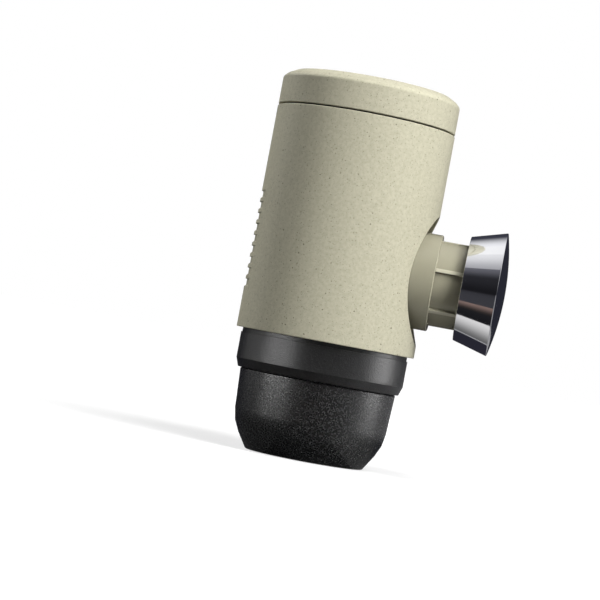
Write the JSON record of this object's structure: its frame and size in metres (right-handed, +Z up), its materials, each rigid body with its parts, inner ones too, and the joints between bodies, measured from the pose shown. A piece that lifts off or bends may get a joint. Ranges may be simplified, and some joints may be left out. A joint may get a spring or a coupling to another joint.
{
  "type": "handheld espresso maker",
  "caption": "Handheld manual espresso maker: speckled round body with screw cap and water tank, spring pump with a bayonet plunger and knob at the side, screw-on filter bowl below.",
  "frame": {"origin": "on the body's axis, in the plane of the flat rim that it stands on", "axes": "+Z up along the body, +X along the pump towards its knob"},
  "size_m": [0.0859, 0.06, 0.1267],
  "materials": {
    "speckled_plastic": "speckled matt",
    "smooth_plastic": "satin",
    "black_plastic": "satin",
    "bowl_plastic": "fine texture",
    "dark_plastic": "moulded",
    "tank_plastic": "smoky",
    "chrome": "polished",
    "steel": "bright",
    "silicone": "soft"
  },
  "bodies": {
    "body": {"outer_shell": "speckled_plastic", "water_tank": "tank_plastic", "tank_seal": "silicone", "pump_housing": "dark_plastic", "pump_cylinder": "steel", "rod_guide": "dark_plastic", "guide_collar": "smooth_plastic", "inlet_valve": "silicone", "outlet_valve_plug": "dark_plastic", "outlet_valve_spring": "steel", "brew_head": "black_plastic", "chassis_screws": "steel", "shower_screen": "steel", "shower_screw": "steel", "brew_gasket": "silicone", "return_spring": "steel"},
    "piston": {"piston_rod": "steel", "piston_head": "dark_plastic", "piston_cup": "silicone", "piston_nut": "steel", "knob_screw": "steel"},
    "knob": {"plunger_sleeve": "smooth_plastic", "knob_shell": "chrome", "knob_hub": "dark_plastic"},
    "cap_seal": {"cap_gasket": "silicone"},
    "cap": {"cap_cover": "speckled_plastic", "cap_plug": "dark_plastic", "cap_vent_valve": "silicone"},
    "basket": {"filter_basket": "steel"},
    "bowl": {"filter_bowl": "bowl_plastic", "outlet_nozzle": "steel", "crema_spring": "steel"},
    "crema_valve": {"crema_valve": "bowl_plastic"},
    "outlet_valve": {"outlet_valve": "dark_plastic"}
  },
  "joints": [
    {"name": "pump_stroke", "type": "slide", "parent": "body", "child": "piston", "axis": [-1, 0, 0], "range_m": [0, 0.014], "stiffness_N_per_m": 900, "springref_m": -0.008, "deforming": ["return_spring"]},
    {"name": "knob_twist", "type": "hinge", "parent": "piston", "child": "knob", "pos_m": [0.045, 0, 0.0653], "axis": [-1, 0, 0], "range_deg": [0, 29.5]},
    {"name": "cap_lift", "type": "slide", "parent": "body", "child": "cap_seal", "axis": [0, 0, 1], "range_m": [0, 0.008]},
    {"name": "cap_turn", "type": "hinge", "parent": "cap_seal", "child": "cap", "pos_m": [0, 0, 0.12], "axis": [0, 0, 1], "range_deg": [0, 720]},
    {"name": "bowl_drop", "type": "slide", "parent": "body", "child": "basket", "axis": [0, 0, -1], "range_m": [0, 0.009]},
    {"name": "bowl_turn", "type": "hinge", "parent": "basket", "child": "bowl", "pos_m": [0, 0, 0.02], "axis": [0, 0, -1], "range_deg": [0, 810]},
    {"name": "outlet_valve_open", "type": "slide", "parent": "body", "child": "outlet_valve", "axis": [0, 0, -1], "range_m": [0, 0.0012], "stiffness_N_per_m": 60, "springref_m": -0.001, "deforming": ["outlet_valve_spring"]},
    {"name": "crema_valve_open", "type": "slide", "parent": "bowl", "child": "crema_valve", "axis": [0, 0, -1], "range_m": [0, 0.001], "stiffness_N_per_m": 60, "springref_m": -0.001, "deforming": ["crema_spring"]}
  ],
  "couplings": [
    {"joint": "cap_lift", "follows": "cap_turn", "m_per_rad": 0.00063661},
    {"joint": "bowl_drop", "follows": "bowl_turn", "m_per_rad": 0.00063661}
  ]
}
